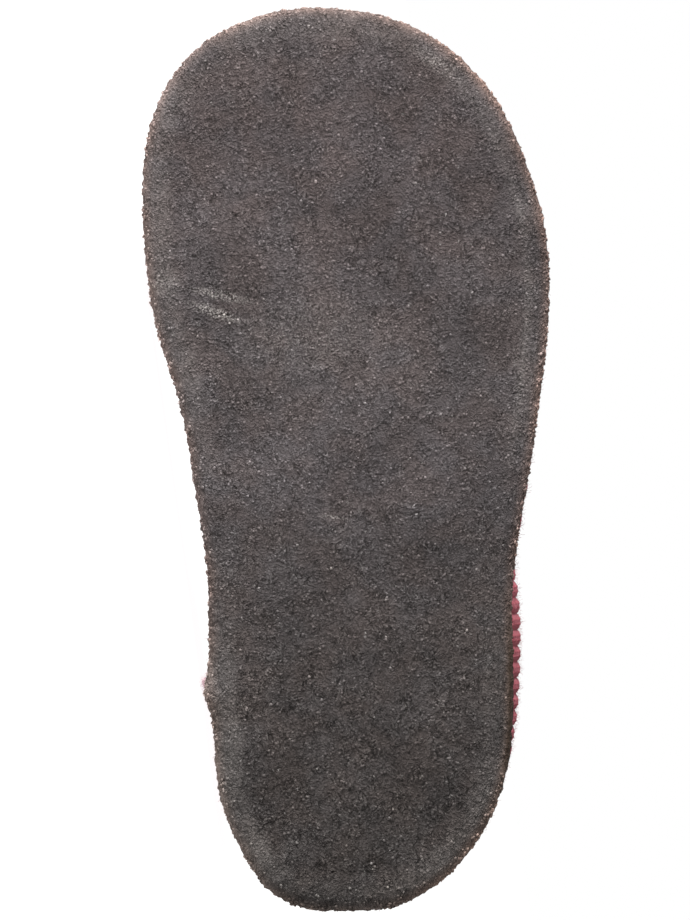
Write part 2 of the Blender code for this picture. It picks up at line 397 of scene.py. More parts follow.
@dataclass(frozen=True)
class Last:
    """The foot form that every piece follows, and how the slipper lies."""

    length: float = 146.0
    heel_tip: tuple[float, float] = (0.5, 0.1)
    toe_tip: tuple[float, float] = (5.2, 146.0)
    outline_rows: tuple[tuple[float, float, float], ...] = (
        # station, medial half-breadth, lateral half-breadth
        (0.6, 7.6, 6.4),
        (3.0, 12.6, 12.0),
        (9.0, 17.1, 18.7),
        (20.0, 21.3, 24.5),
        (28.0, 22.0, 25.8),
        (36.0, 22.7, 26.1),
        (54.0, 23.0, 26.3),
        (68.0, 25.0, 28.4),
        (82.0, 27.6, 30.5),
        (96.0, 31.7, 32.0),
        (110.0, 33.4, 31.5),
        (121.0, 33.4, 28.4),
        (131.0, 30.9, 23.6),
        (139.5, 24.7, 15.8),
        (144.3, 16.0, 6.4),
        (145.5, 11.8, 1.4),
    )
    ball_station: float = 100.0
    toe_spring: float = 2.5
    topline_middle: float = 40.0
    topline_half_length: float = 33.0
    topline_half_width: float = 23.0
    topline_lateral_shift: float = 2.0
    topline_squareness: float = 2.6
    topline_heel_height: float = 41.0
    topline_throat_height: float = 46.0
    topline_dip: float = 2.5
    topline_crowding: float = 0.48
    lie: float = 7.7
    samples: int = 6000

    def outline(self, per_side: int) -> np.ndarray:
        """The sole's outline as points at ground height.

        Args:
            per_side: how many points each side has from heel tip to toe tip.

        Returns:
            The ring, from the heel tip by the medial side to the toe tip and back.
        """
        medial = [(row[1], row[0]) for row in self.outline_rows]
        lateral = [(-row[2], row[0]) for row in reversed(self.outline_rows)]
        knots = np.array([self.heel_tip, *medial, self.toe_tip, *lateral])
        curve = periodic_spline(knots, self.samples)
        curve = np.roll(curve, -int(np.argmin(curve[:, 1])), axis=0)
        toe = int(np.argmax(curve[:, 1]))
        closed = np.concatenate([curve, curve[:1]])
        forward = spaced_evenly(closed[: toe + 1], per_side + 1)
        back = spaced_evenly(closed[toe:], per_side + 1)
        flat = np.concatenate([forward[:-1], back[:-1]])
        return np.column_stack([flat, np.zeros(len(flat))])

    def raised(self, points: np.ndarray, height: float | np.ndarray) -> np.ndarray:
        """Points in plan at a height above the ground, which the toe spring lifts."""
        past_ball = (points[:, 1] - self.ball_station) / (self.length - self.ball_station)
        spring = self.toe_spring * np.clip(past_ball, 0.0, 1.0) ** 2
        return np.column_stack([points[:, 0], points[:, 1], height + spring])

    def inset(self, outline: np.ndarray, inset: float, height: float) -> np.ndarray:
        """The outline moved in by inset and up to a height."""
        return self.raised(outline - inset * outward(outline), height)

    def topline(self, count: int) -> np.ndarray:
        """The upper's top edge: a squarish oval, higher at the throat than over the sides."""
        share = np.arange(count) / count
        side = np.where(share <= 0.5, share, 1.0 - share) * 2.0
        turn = math.pi * side / (side + self.topline_crowding * (1.0 - side))
        medial = np.where(share <= 0.5, 1.0, -1.0)
        power = 2.0 / self.topline_squareness
        across = np.sin(turn) ** power
        along = -np.sign(np.cos(turn)) * np.abs(np.cos(turn)) ** power
        x = medial * self.topline_half_width * across - self.topline_lateral_shift
        y = self.topline_middle + self.topline_half_length * along
        rise = self.topline_throat_height - self.topline_heel_height
        z = self.topline_heel_height + rise * 0.5 * (along + 1.0)
        return np.column_stack([x, y, z - self.topline_dip * (1.0 - along**2)])

    def turn(self) -> np.ndarray:
        """The turn from the foot's axes to the frame's: x down, y towards -X, z towards +Y."""
        sine, cosine = math.sin(math.radians(self.lie)), math.cos(math.radians(self.lie))
        return np.array([[-sine, -cosine, 0.0], [0.0, 0.0, 1.0], [-cosine, sine, 0.0]])

    def place(self, points: np.ndarray) -> np.ndarray:
        """Points in the foot's millimetres as points in the frame's metres."""
        low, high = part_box("outsole")
        edge = self.outline(self.samples // 4) @ self.turn().T * MM
        middle = 0.5 * (edge.min(axis=0) + edge.max(axis=0))
        shift = [0.5 * (low.x + high.x) - middle[0], low.y, 0.5 * (low.z + high.z) - middle[2]]
        return points @ self.turn().T * MM + np.array(shift)

    def direction(self, x: float, y: float, z: float) -> Vector:
        """A direction in the foot's axes as one in the frame's."""
        return Vector(self.turn() @ np.array([x, y, z]))


# ---------------------------------------------------------------- finishes


@dataclass(frozen=True)
class Scuff:
    """A streak of the sole rubbed pale: its middle, half its length and width, lie and strength."""

    medial: float
    station: float
    length: float
    width: float
    lie: float
    strength: float


@dataclass(frozen=True)
class SplitSuede:
    """Split leather with its nap brushed up, drum-dyed dark grey.

    A split has no smooth grain side. Its fibres stand up in crumbs about half a millimetre wide,
    so it is matt, with dark hollows, paler crests, short curly creases and stray pale fibre ends.
    """

    # the hollow and crest colours hold painted shade and highlight as well as the dye's own depth
    shaded_hollow: str = "#3B3736"
    nap: str = "#5E5858"
    lit_crest: str = "#857F7F"
    fleck: str = "#B0ABA8"
    # the pale of rubbed nap, which also paints light on the band
    pale_wear_and_light: str = "#A7A19D"
    # the dark of the lateral heel edge, which is painted shade
    painted_shade_strip: str = "#3B3028"
    cool_cast: str = "#FAFDFE"
    warm_cast: str = "#FFFCF9"
    grain: float = 0.36
    curl: float = 1.0
    fold: float = 1.5
    spell: float = 2.6
    blotch: float = 13.0
    tint: float = 7.0
    # the turned edge's colour: thin dye, with painted rim light that is warm on the lateral side and at
    # the heel
    thin_dye_and_rim_light: tuple[float, float, float] = (2.0, 1.77, 1.65)
    lateral_warm_light: tuple[float, float, float] = (0.2, 0.0, -0.1)
    heel_rim_light: Ramp = (26.0, 12.0, 0.0, 0.35)
    band_fade: tuple[float, float] = (6.8, 4.3)
    raggedness: float = 2.4
    fold_line: float = 3.4
    fold_line_width: float = 0.6
    fold_line_stretch: tuple[float, float] = (97.0, 24.0)
    fold_line_rub: float = 0.2
    turn_width: float = 2.1
    roll: Ramp = (105.0, 128.0, 0.09, 0.15)
    patchy: float = 0.16
    band_rub: float = 0.2
    # the band's paling at the heel and on its medial side is painted light
    heel_light: Ramp = (50.0, 18.0, 0.15, 2.2)
    toe_rub: Ramp = (62.0, 82.0, 0.0, 0.8)
    tip_rub: Ramp = (2.0, 14.0, 0.35, 1.0)
    medial_light: Ramp = (-20.0, 20.0, 0.5, 1.0)
    comb: tuple[float, float, float] = (1.14, 0.88, 1.0)
    lively: Ramp = (0.35, 0.65, 0.65, 1.35)
    grain_height: float = 0.68
    ridge_height: Ramp = (80.0, 25.0, 0.19, 0.22)
    crease_height: Ramp = (80.0, 25.0, -0.15, -0.28)
    level: float = 0.41
    tones: tuple[float, float] = (0.19, 0.82)
    relief_shading: float = 0.05
    crumb_paling: float = 0.01
    fleck_gap: float = 1.0
    fleck_size: float = 0.22
    relief: float = 1.9
    roughness: float = 0.95
    shine: float = 0.15
    wear_and_painted_falloff: Stops = (
        # share of the foot's length from the heel, and how pale the nap is there: wear, and painted
        # light that falls off towards the heel
        (0.00, "#B5B4B0"),
        (0.14, "#BEBCB9"),
        (0.27, "#C9C7C5"),
        (0.40, "#D5D3D3"),
        (0.47, "#E8E6E8"),
        (0.60, "#ECE9EA"),
        (0.78, "#E3DEDF"),
        (0.86, "#DCD6D7"),
        (1.00, "#E3DDDD"),
    )
    scuffs: tuple[Scuff, ...] = (
        Scuff(20.9, 99.5, 6.2, 1.1, 12.0, 0.9),
        Scuff(21.9, 96.8, 6.0, 1.1, 20.0, 1.0),
        Scuff(2.9, 63.7, 2.4, 0.4, 4.0, 0.6),
        Scuff(30.0, 101.5, 3.5, 2.5, 0.0, 0.4),
        Scuff(7.0, 93.0, 15.0, 8.0, 0.0, 0.2),
        Scuff(-14.0, 137.0, 6.0, 1.5, 36.0, 0.35),
    )

    def build(self) -> Material:
        """Makes the material."""
        material, web, shader = bare_finish("split_suede_napped")
        foot = web("Attribute", attribute_name="foot").outputs["Vector"]
        edge, strip, relief, crumb = (
            web("Attribute", attribute_name=name).outputs["Fac"]
            for name in ("edge", "strip", "relief", "crumb")
        )
        apart = web("SeparateXYZ", foot).outputs
        # crumbs of nap, brushed a little along the foot, and the short creases between them
        combed = web("VectorMath", foot, self.comb, operation="MULTIPLY")
        grain = web(
            "TexNoise", Vector=combed, Scale=1.0 / self.grain, Detail=2.0, Roughness=0.7, Distortion=0.3
        )
        lines = []
        for size, width, distortion in ((self.fold, 0.04, 0.8), (self.curl, 0.14, 0.9)):
            line = web("TexNoise", Vector=combed, Scale=1.0 / size, Detail=2.0, Distortion=distortion)
            line = web("Math", line, 0.5, operation="SUBTRACT")
            line = web("Math", line, operation="ABSOLUTE")
            lines.append(web("MapRange", line, width, 0.0))
        crease, ridge = lines
        spell = web("TexNoise", Vector=foot, Scale=1.0 / self.spell, Detail=1.0)
        lively = web("MapRange", spell, *self.lively)
        spell = web("MapRange", spell, 0.3, 0.6)
        crease = web("Math", crease, spell, operation="MULTIPLY")
        height = web("Math", grain, 0.5, operation="SUBTRACT")
        height = web("Math", height, self.grain_height, operation="MULTIPLY")
        # the heel is less worn, and its ridges and creases are deeper
        for lines, deep in ((ridge, self.ridge_height), (crease, self.crease_height)):
            coarse = web("MapRange", apart[1], *deep)
            height = web("Math", lines, coarse, height, operation="MULTIPLY_ADD")
        height = web("Math", height, lively, self.level, operation="MULTIPLY_ADD")
        # painted shade and highlight: the colour is darker in the hollows and paler on the crests and
        # crumbs, as shade and light fall on the relief; the dye also sits deeper in the hollows and the
        # crests are worn pale
        tone = web("Math", relief, self.relief_shading, height, operation="MULTIPLY_ADD")
        tone = web("Math", crumb, self.crumb_paling, tone, operation="MULTIPLY_ADD")
        tone = web("MapRange", tone, *self.tones)
        crests = web("MapRange", grain, 0.45, 0.62)
        stops = ((0.0, self.shaded_hollow), (0.5, self.nap), (0.85, self.lit_crest), (1.0, self.fleck))
        colour = web("ValToRGB", tone, stops=stops)
        # painted light: darker towards the heel as the key light falls off, and a paler forefoot from
        # wear
        along = web("Math", apart[1], Last.length, operation="DIVIDE")
        wear_and_painted_falloff = web("ValToRGB", along, stops=self.wear_and_painted_falloff)
        colour = web("MixRGB", 1.0, colour, wear_and_painted_falloff, blend_type="MULTIPLY")
        cloud = web("TexNoise", Vector=foot, Scale=1.0 / self.blotch, Detail=0.5)
        tint = web("TexNoise", Vector=foot, Scale=1.0 / self.tint, Detail=1.0)
        cast = web("ValToRGB", tint, stops=((0.4, self.cool_cast), (0.6, self.warm_cast)))
        colour = web("MixRGB", 1.0, colour, cast, blend_type="MULTIPLY")
        # painted light: the colour is paler towards the medial side and darker towards the lateral
        # side, most under the toes, as light falls from the medial side, and soft patches vary it
        roll = web("MapRange", apart[1], *self.roll)
        graded = web("MapRange", apart[0], -26.0, 26.0, -1.0, 1.0)
        graded = web("Math", graded, roll, 1.0, operation="MULTIPLY_ADD")
        patchy = web("MapRange", cloud, 0.3, 0.7, 1.0 - self.patchy, 1.0 + self.patchy)
        graded = web("Math", graded, patchy, operation="MULTIPLY")
        colour = web("MixRGB", 1.0, colour, graded, blend_type="MULTIPLY")
        # the turned edge's band is paler: rubbed under the forefoot, and painted light from the medial
        # side, strongest at the heel
        uneven = web("MapRange", cloud, 0.2, 0.6)
        soft = web("MapRange", grain, 0.4, 0.65, 0.4, 1.0)
        uneven = web("Math", uneven, soft, operation="MULTIPLY")
        ragged = web("TexNoise", Vector=foot, Scale=1.0 / self.spell, Detail=2.0)
        ragged = web("Math", ragged, self.raggedness, edge, operation="MULTIPLY_ADD")
        band = web("MapRange", ragged, *self.band_fade, interpolation_type="SMOOTHSTEP")
        heel_light = web("MapRange", apart[1], *self.heel_light)
        toe_rub = web("MapRange", apart[1], *self.toe_rub)
        rub_and_light = web("Math", heel_light, toe_rub, operation="ADD")
        at_tip = web("MapRange", apart[1], *self.tip_rub)
        medial = web("MapRange", apart[0], *self.medial_light)
        for share in (at_tip, medial):
            rub_and_light = web("Math", rub_and_light, share, operation="MULTIPLY")
        for share in (rub_and_light, self.band_rub):
            band = web("Math", band, share, operation="MULTIPLY")
        # the fold of the allowance shows as a pale line beside the lateral edge of the fore part
        line = hump(web, edge, self.fold_line, self.fold_line_width)
        lateral = web("MapRange", apart[0], -8.0, -18.0)
        for share in (lateral, hump(web, apart[1], *self.fold_line_stretch)):
            line = web("Math", line, share, operation="MULTIPLY")
        band = web("Math", line, self.fold_line_rub, band, operation="MULTIPLY_ADD")
        band = web("Math", band, uneven, operation="MULTIPLY")
        colour = web("MixRGB", band, colour, linear(self.pale_wear_and_light))
        # fibre ends that took no dye
        bent = web("TexNoise", Vector=foot, Scale=1.0 / self.grain, Detail=1.0).outputs["Color"]
        bent = web("VectorMath", bent, (0.9, 0.9, 0.9), foot, operation="MULTIPLY_ADD")
        cells = web("TexVoronoi", Vector=bent, Scale=1.0 / self.fleck_gap).outputs
        reach = self.fleck_size / self.fleck_gap
        fleck = web("MapRange", cells["Distance"], reach, 0.3 * reach)
        pick = web("SeparateColor", cells["Color"])
        pick = web("MapRange", pick, 0.7, 1.25)
        fleck = web("Math", fleck, pick, operation="MULTIPLY")
        colour = web("MixRGB", fleck, colour, linear(self.fleck))
        # streaks where the nap was rubbed, which show only on the crests
        for scuff in self.scuffs:
            patch = web(
                "Mapping",
                foot,
                (scuff.medial, scuff.station, 0.0),
                (0.0, 0.0, math.radians(scuff.lie)),
                (scuff.length, scuff.width, 1000.0),
                vector_type="TEXTURE",
            )
            away = web("VectorMath", patch, operation="LENGTH").outputs["Value"]
            share = web("MapRange", away, 1.1, 0.2, interpolation_type="SMOOTHSTEP")
            for part in (crests, scuff.strength):
                share = web("Math", share, part, operation="MULTIPLY")
            colour = web("MixRGB", share, colour, linear(self.pale_wear_and_light))
        # the turned edge is paler and warmer: the dye is thin there and the tan shows through, and
        # painted rim light brightens it, with painted warm light on the lateral side and most at the
        # lateral heel
        turned = web("MapRange", edge, self.turn_width, 0.2)
        turned = web("Math", turned, turned, operation="MULTIPLY")
        lateral = web("MapRange", apart[0], -4.0, -14.0)
        dye_and_light = web("VectorMath", lateral, self.lateral_warm_light, self.thin_dye_and_rim_light, operation="MULTIPLY_ADD")
        heel = web("MapRange", apart[1], *self.heel_rim_light)
        heel = web("Math", heel, lateral, 1.0, operation="MULTIPLY_ADD")
        dye_and_light = web("VectorMath", dye_and_light, Scale=heel, operation="SCALE")
        thin_and_lit = web("VectorMath", colour, dye_and_light, operation="MULTIPLY")
        colour = web("MixRGB", turned, colour, thin_and_lit)
        # painted shade: the lateral edge of the heel lies in shade and is coloured dark, and its nap is
        # smoother
        colour = web("MixRGB", strip, colour, linear(self.painted_shade_strip))
        smooth = web("Math", strip, -0.5, 1.0, operation="MULTIPLY_ADD")
        bump = web("Bump", Strength=smooth, Distance=self.relief * MM, Height=height)
        sockets = {"Base Color": colour, "Normal": bump, "Roughness": self.roughness}
        fill(shader, sockets | {"Specular IOR Level": self.shine})
        return material


@dataclass(frozen=True)
class Wool:
    """Wool that was dyed in the fleece: soft and matt, a little uneven in its colour, with a pale
    sheen of fibre ends."""

    name: str
    deep: str
    body: str
    tip: str
    fibre: float = 0.35
    lump: float = 2.4
    cloud: float = 14.0
    relief: float = 0.2
    roughness: float = 0.9
    shine: float = 0.15
    fuzz: float = 0.35

    def build(self) -> Material:
        """Makes the material."""
        material, web, shader = bare_finish(self.name)
        place = web("TexCoord").outputs["Object"]
        fibre = web(
            "TexNoise", Vector=place, Scale=1.0 / (self.fibre * MM), Detail=3.0, Distortion=1.2
        )
        lump = web("TexNoise", Vector=place, Scale=1.0 / (self.lump * MM), Detail=2.0)
        cloud = web("TexNoise", Vector=place, Scale=1.0 / (self.cloud * MM), Detail=2.0)
        height = web("Math", lump, 0.4, fibre, operation="MULTIPLY_ADD")
        tone = web("Math", cloud, 0.3, height, operation="MULTIPLY_ADD")
        tone = web("MapRange", tone, 0.5, 1.2)
        colour = web(
            "ValToRGB", tone, stops=((0.0, self.deep), (0.5, self.body), (1.0, self.tip))
        )
        bump = web("Bump", Strength=0.7, Distance=self.relief * MM, Height=height)
        sockets = {
            "Base Color": colour,
            "Normal": bump,
            "Roughness": self.roughness,
            "Specular IOR Level": self.shine,
            "Sheen Weight": self.fuzz,
            "Sheen Roughness": 0.5,
            "Sheen Tint": linear(self.tip),
        }
        fill(shader, sockets)
        return material


@dataclass(frozen=True)
class LightTable:
    """Opal acrylic lit from below, as a product table is: white, with hardly any shadow."""

    colour: str = "#8E8C89"
    glow: float = 0.97

    def build(self) -> Material:
        """Makes the material."""
        material, _, shader = bare_finish("opal_acrylic_lit")
        sockets = {"Base Color": linear(self.colour), "Roughness": 0.9, "Specular IOR Level": 0.0}
        light = {"Emission Color": linear("#FFFFFF"), "Emission Strength": self.glow}
        fill(shader, sockets | light)
        return material


# ---------------------------------------------------------------- what repeats


@dataclass(frozen=True)
class Leg:
    """One bent length of yarn in a stitch, in shares of the stitch's width, height and width."""

    start: tuple[float, float, float]
    middle: tuple[float, float, float]
    end: tuple[float, float, float]


class Stitch(Enum):
    """The shapes of stitch, as their legs."""

    KNIT = (
        Leg((0.03, -0.62, 0.0), (0.30, -0.10, 0.40), (0.22, 0.66, -0.04)),
        Leg((-0.03, -0.62, 0.0), (-0.30, -0.10, 0.40), (-0.22, 0.66, -0.04)),
    )
    OVERCAST = (Leg((-0.28, -0.5, -0.35), (0.0, 0.0, 0.9), (0.28, 0.5, -0.35)),)
    LADDER = (Leg((0.0, -0.5, -0.5), (0.0, 0.0, 0.8), (0.0, 0.5, -0.5)),)


@dataclass
class StitchRow:
    """Stitches of one kind, each at a point with its own outward and upward directions."""

    name: str
    kind: Stitch
    width: float
    height: float
    yarn: float
    finish: Material
    sides: int = 5
    bends: int = 4

    def build(self, last: Last, places: np.ndarray, out: np.ndarray, up: np.ndarray) -> Piece:
        """Makes the stitches.

        Args:
            last: the last whose axes the points and directions are in.
            places: each stitch's middle.
            out: each stitch's direction away from the cloth.
            up: each stitch's own upward direction.

        Returns:
            One object with every stitch.
        """
        mesh = bpy.data.meshes.new(self.name)
        mesh.from_pydata(last.place(places).tolist(), [], [])
        for title, values in (("out", out), ("up", up)):
            turned = (values @ last.turn().T).astype(np.float32)
            held = mesh.attributes.new(title, "FLOAT_VECTOR", "POINT")
            held.data.foreach_set("vector", turned.ravel())
        piece = put(self.name, mesh)
        tree = GeometryTree(
            self.name,
            Stitch_width=self.width * MM,
            Stitch_height=self.height * MM,
            Yarn_radius=0.5 * self.yarn * MM,
            Yarn_sides=self.sides,
            Yarn=self.finish,
        )
        web, feed = tree.add, tree.inputs
        wide = feed["Stitch width"]
        size = web("CombineXYZ", wide, feed["Stitch height"], wide)
        ring = web(
            "GeometryNodeCurvePrimitiveCircle",
            Resolution=feed["Yarn sides"],
            Radius=feed["Yarn radius"],
        )
        join = web("GeometryNodeJoinGeometry")
        for leg in self.kind.value:
            bend = web(
                "GeometryNodeCurveQuadraticBezier", self.bends, leg.start, leg.middle, leg.end
            )
            sized = web("GeometryNodeTransform", bend, Scale=size)
            yarn = web("GeometryNodeCurveToMesh", sized, ring, Fill_Caps=True)
            tree.tree.links.new(yarn.outputs[0], join.inputs[0])
        out_held, up_held = (
            web("GeometryNodeInputNamedAttribute", name, data_type="FLOAT_VECTOR")
            for name in ("out", "up")
        )
        facing = web("FunctionNodeAlignRotationToVector", Vector=out_held, axis="Z")
        upright = web(
            "FunctionNodeAlignRotationToVector", facing, Vector=up_held, axis="Y", pivot_axis="Z"
        )
        placed = web(
            "GeometryNodeInstanceOnPoints",
            web("GeometryNodeMeshToPoints", feed["Geometry"]),
            Instance=join,
            Rotation=upright,
        )
        tree.close(placed, feed["Yarn"])
        return tree.apply(piece)


@dataclass
class Nap:
    """Small crumbs of nap, or loose fibres, scattered over the outer side of a piece.

    The number of them is for a square millimetre, and the tilt is in radians.
    """

    name: str
    finish: Material
    per_square: float
    size: float
    seed: int
    fibres: bool = False
    flatness: float = 0.5
    tilt: float = 0.6
    cluster: float = 0.0
    fibre_radius: float = 0.018

    def unit(self, web: partial) -> Node:
        """One crumb, which is marked as one, or one bent fibre, a millimetre long."""
        if not self.fibres:
            ball = web("GeometryNodeMeshIcoSphere", 0.5, 1)
            return web("GeometryNodeStoreNamedAttribute", ball, Name="crumb", Value=1.0)
        bend = web(
            "GeometryNodeCurveQuadraticBezier", 3, (0.0, 0.0, -0.1), (0.2, 0.1, 0.6), (0.8, -0.1, 0.6)
        )
        ring = web("GeometryNodeCurvePrimitiveCircle", Resolution=3, Radius=self.fibre_radius)
        return web("GeometryNodeCurveToMesh", bend, ring, Fill_Caps=True)

    def build(self, ground: Piece) -> Piece:
        """Makes the crumbs or fibres.

        Args:
            ground: the piece that they stand on, whose attribute "nap" says how dense they are and
                whose attribute "nap_size" says how much larger they are.

        Returns:
            One object with all of them.
        """
        piece = put(self.name, ground.data.copy())
        tree = GeometryTree(
            self.name,
            Number_per_square_metre=self.per_square * 1e6,
            Size=self.size * MM,
            Seed=self.seed,
            Finish=self.finish,
        )
        web, feed = tree.add, tree.inputs
        dense, larger = (
            web("GeometryNodeInputNamedAttribute", name, data_type="FLOAT")
            for name in ("nap", "nap_size")
        )
        if self.cluster:
            foot = web("GeometryNodeInputNamedAttribute", "foot", data_type="FLOAT_VECTOR")
            crowd = web("TexNoise", Vector=foot, Scale=1.0 / self.cluster, Detail=1.0)
            crowd = web("MapRange", crowd, 0.4, 0.64, 0.4, 1.8)
            dense = web("Math", dense, crowd, operation="MULTIPLY")
        spread = web(
            "GeometryNodeDistributePointsOnFaces",
            feed["Geometry"],
            Density=web("Math", feed["Number per square metre"], dense, operation="MULTIPLY"),
            Seed=feed["Seed"],
        ).outputs
        chance = web(
            "FunctionNodeRandomValue",
            (0.5, 0.5, 0.5),
            (1.3, 1.3, 1.3),
            Seed=self.seed + 1,
            data_type="FLOAT_VECTOR",
        )
        wobble = web(
            "FunctionNodeRandomValue",
            (-self.tilt, -self.tilt, -math.pi),
            (self.tilt, self.tilt, math.pi),
            Seed=self.seed + 2,
            data_type="FLOAT_VECTOR",
        )
        euler = web("FunctionNodeEulerToRotation", wobble)
        turned = web(
            "FunctionNodeRotateRotation", spread["Rotation"], euler, rotation_space="LOCAL"
        )
        shape = (1.0, 1.0, 1.0 if self.fibres else self.flatness)
        size = web("VectorMath", chance, shape, operation="MULTIPLY")
        larger = web("Math", feed["Size"], larger, operation="MULTIPLY")
        size = web("VectorMath", size, Scale=larger, operation="SCALE")
        placed = web(
            "GeometryNodeInstanceOnPoints",
            spread["Points"],
            Instance=self.unit(web),
            Rotation=turned,
            Scale=size,
        )
        tree.close(placed, feed["Finish"])
        return tree.apply(piece)


def hump(web: partial, value: Source, middle: Source, width: Source) -> Node:
    """A smooth hump that is 1 where the value is at the middle and falls away over the width."""
    away = web("Math", value, middle, operation="SUBTRACT")
    away = web("Math", away, width, operation="DIVIDE")
    square = web("Math", away, away, operation="MULTIPLY")
    return web("Math", math.exp(-1.0), square, operation="POWER")


# ---------------------------------------------------------------- sub-assemblies


@dataclass
class SuedeSole:
    """The turned sole: a sheet of split suede whose edge rolls up to the seam."""

    last: Last
    suede: float = 1.8
    band_width: float = 5.1
    band_step: float = 1.4
    band_rise: float = 0.4
    edge_radius: float = 2.6
    rim_height: float = 4.6
    seam_inset: float = 1.1
    per_side: int = 450
    rungs: int = 118
    step: float = 0.42
    # the strip along the lateral edge of the heel, which is coloured dark as painted shade
    strip_from: float = 19.0
    strip_to: float = 53.0
    strip_width: float = 0.95
    strip_fades: tuple[float, float] = (6.0, 12.0)
    strip_softness: float = 0.35
    crumb_reach: float = 1.4
    heel_clumps: Ramp = (80.0, 30.0, 1.0, 2.0)
    lateral_press: Ramp = (-12.0, 10.0, 0.55, 1.0)
    groove_gap: float = 7.0
    toe_from: float = 116.0
    toe_to: float = 134.0
    slope_start: float = 7.5
    slope_end: float = 14.0
    seam_end: float = 35.2
    seam_end_width: float = 2.7
    points_at_once: int = 4000

    def section(self) -> list[tuple[float, float]]:
        """The outer side's section from the band's inner edge to the rim, as inset and height."""
        start, flat_end = self.band_width + self.band_step, self.edge_radius
        rows = []
        for inset in np.arange(start, flat_end, -self.step):
            share = np.clip((inset - self.band_width) / self.band_step, 0.0, 1.0)
            rows.append((inset, self.band_rise * share**2 * (3.0 - 2.0 * share)))
        for turn in np.linspace(0.0, 0.5 * math.pi, 11):
            rows.append((flat_end * (1.0 - math.sin(turn)), flat_end * (1.0 - math.cos(turn))))
        for share in np.linspace(0.2, 1.0, 5):
            height = self.edge_radius + share * (self.rim_height - self.edge_radius)
            rows.append((self.seam_inset * share**2, height))
        return rows

    def marks(self, sole: Piece, outline: np.ndarray) -> None:
        """Keeps on each point how far it is from the edge, and where the nap and the strip are."""
        count = len(sole.data.vertices)
        foot = np.empty(count * 3, np.float32)
        sole.data.attributes["foot"].data.foreach_get("vector", foot)
        foot = foot.reshape(-1, 3)
        edge = np.empty(count)
        for part in np.array_split(np.arange(count), max(1, count // self.points_at_once)):
            block = foot[part, None, :2] - outline[None, :, :2]
            edge[part] = np.sqrt((block**2).sum(axis=2).min(axis=1))
        floor = self.band_rise + self.suede
        height = foot[:, 2] - self.last.raised(foot, 0.0)[:, 2]
        inside = (height > floor - 0.2) & (edge > self.seam_inset + 0.5 * self.suede)
        outer = np.where(inside, 0.0, 1.0)
        lateral = np.clip(-foot[:, 0] / 4.0 - 1.0, 0.0, 1.0)
        heel_fade, toe_fade = self.strip_fades
        ends = np.clip((foot[:, 1] - self.strip_from) / heel_fade, 0.0, 1.0)
        ends = ends * np.clip((self.strip_to - foot[:, 1]) / toe_fade, 0.0, 1.0)
        on_edge = np.clip((self.strip_width - edge) / self.strip_softness, 0.0, 1.0)
        strip = outer * lateral * ends * np.where(height > self.edge_radius, 1.0, on_edge)
        mark(sole, "edge", edge)
        at_edge = np.clip(1.0 - edge / self.crumb_reach, 0.0, 1.0)
        mark(sole, "outer", outer)
        mark(sole, "nap", outer * (1.0 + at_edge) * (1.0 - strip) * (height < 4.0))
        mark(sole, "strip", strip)
        mark(sole, "nap_size", 1.0 + 0.4 * at_edge)

    def relief(self, finish: Material) -> GeometryTree:
        """The tree that raises the nap's clumps, the seam allowance's groove and the seam's end."""
        tree = GeometryTree(
            "suede_relief",
            Clump_size=1.4,
            Clump_height=0.21,
            Lump_size=4.5,
            Lump_height=0.13,
            Edge_crumb_size=0.85,
            Edge_crumb_height=1.6,
            Edge_swell=-0.1,
            Strip_swell=0.25,
            Groove_depth=0.14,
            Groove_inset=self.band_width + 0.4,
            Toe_fill=self.band_rise,
            Seam_end_height=0.9,
            Finish=finish,
        )
        web, feed = tree.add, tree.inputs
        foot = web("GeometryNodeInputNamedAttribute", "foot", data_type="FLOAT_VECTOR")
        edge, outer, strip = (
            web("GeometryNodeInputNamedAttribute", name, data_type="FLOAT")
            for name in ("edge", "outer", "strip")
        )
        across = web("VectorMath", foot, (0.95, 1.05, 1.0), operation="MULTIPLY")
        noises = []
        for title, place, detail, distortion, middle in (
            ("Clump size", across, 3.0, 0.5, 0.5),
            ("Lump size", foot, 2.0, 0.0, 0.5),
            ("Edge crumb size", foot, 3.0, 0.0, 0.48),
        ):
            scale = web("Math", 1.0, feed[title], operation="DIVIDE")
            noise = web("TexNoise", Vector=place, Scale=scale, Detail=detail, Distortion=distortion)
            noises.append(web("Math", noise, middle, operation="SUBTRACT"))
        clump, lump, crumb = noises
        ridge = web("Math", clump, operation="ABSOLUTE")
        ridge = web("Math", ridge, -1.4, 0.15, operation="MULTIPLY_ADD")
        clump = web("Math", clump, ridge, operation="ADD")
        # the heel's clumps are less worn down
        apart = web("SeparateXYZ", foot).outputs
        graded = web("MapRange", apart[1], *self.heel_clumps)
        clump = web("Math", clump, graded, operation="MULTIPLY")
        height = web("Math", clump, feed["Clump height"], operation="MULTIPLY")
        height = web("Math", lump, feed["Lump height"], height, operation="MULTIPLY_ADD")
        near = hump(web, edge, 0.0, 1.5)
        # the lateral edge is pressed smoother
        pressed = web("MapRange", apart[0], *self.lateral_press)
        near = web("Math", near, pressed, operation="MULTIPLY")
        crumb = web(
            "Math", crumb, feed["Edge crumb height"], feed["Edge swell"], operation="MULTIPLY_ADD"
        )
        height = web("Math", crumb, near, height, operation="MULTIPLY_ADD")
        # the seam allowance ends in a broken groove
        groove = hump(web, edge, feed["Groove inset"], 0.8)
        broken = web("TexNoise", Vector=foot, Scale=1.0 / self.groove_gap, Detail=2.0)
        broken = web("MapRange", broken, 0.4, 0.6)
        toe = web("MapRange", apart[1], self.toe_from, self.toe_to)
        left = web("Math", 1.0, toe, operation="SUBTRACT")
        for share in (broken, left, feed["Groove depth"]):
            groove = web("Math", groove, share, operation="MULTIPLY")
        height = web("Math", height, groove, operation="SUBTRACT")
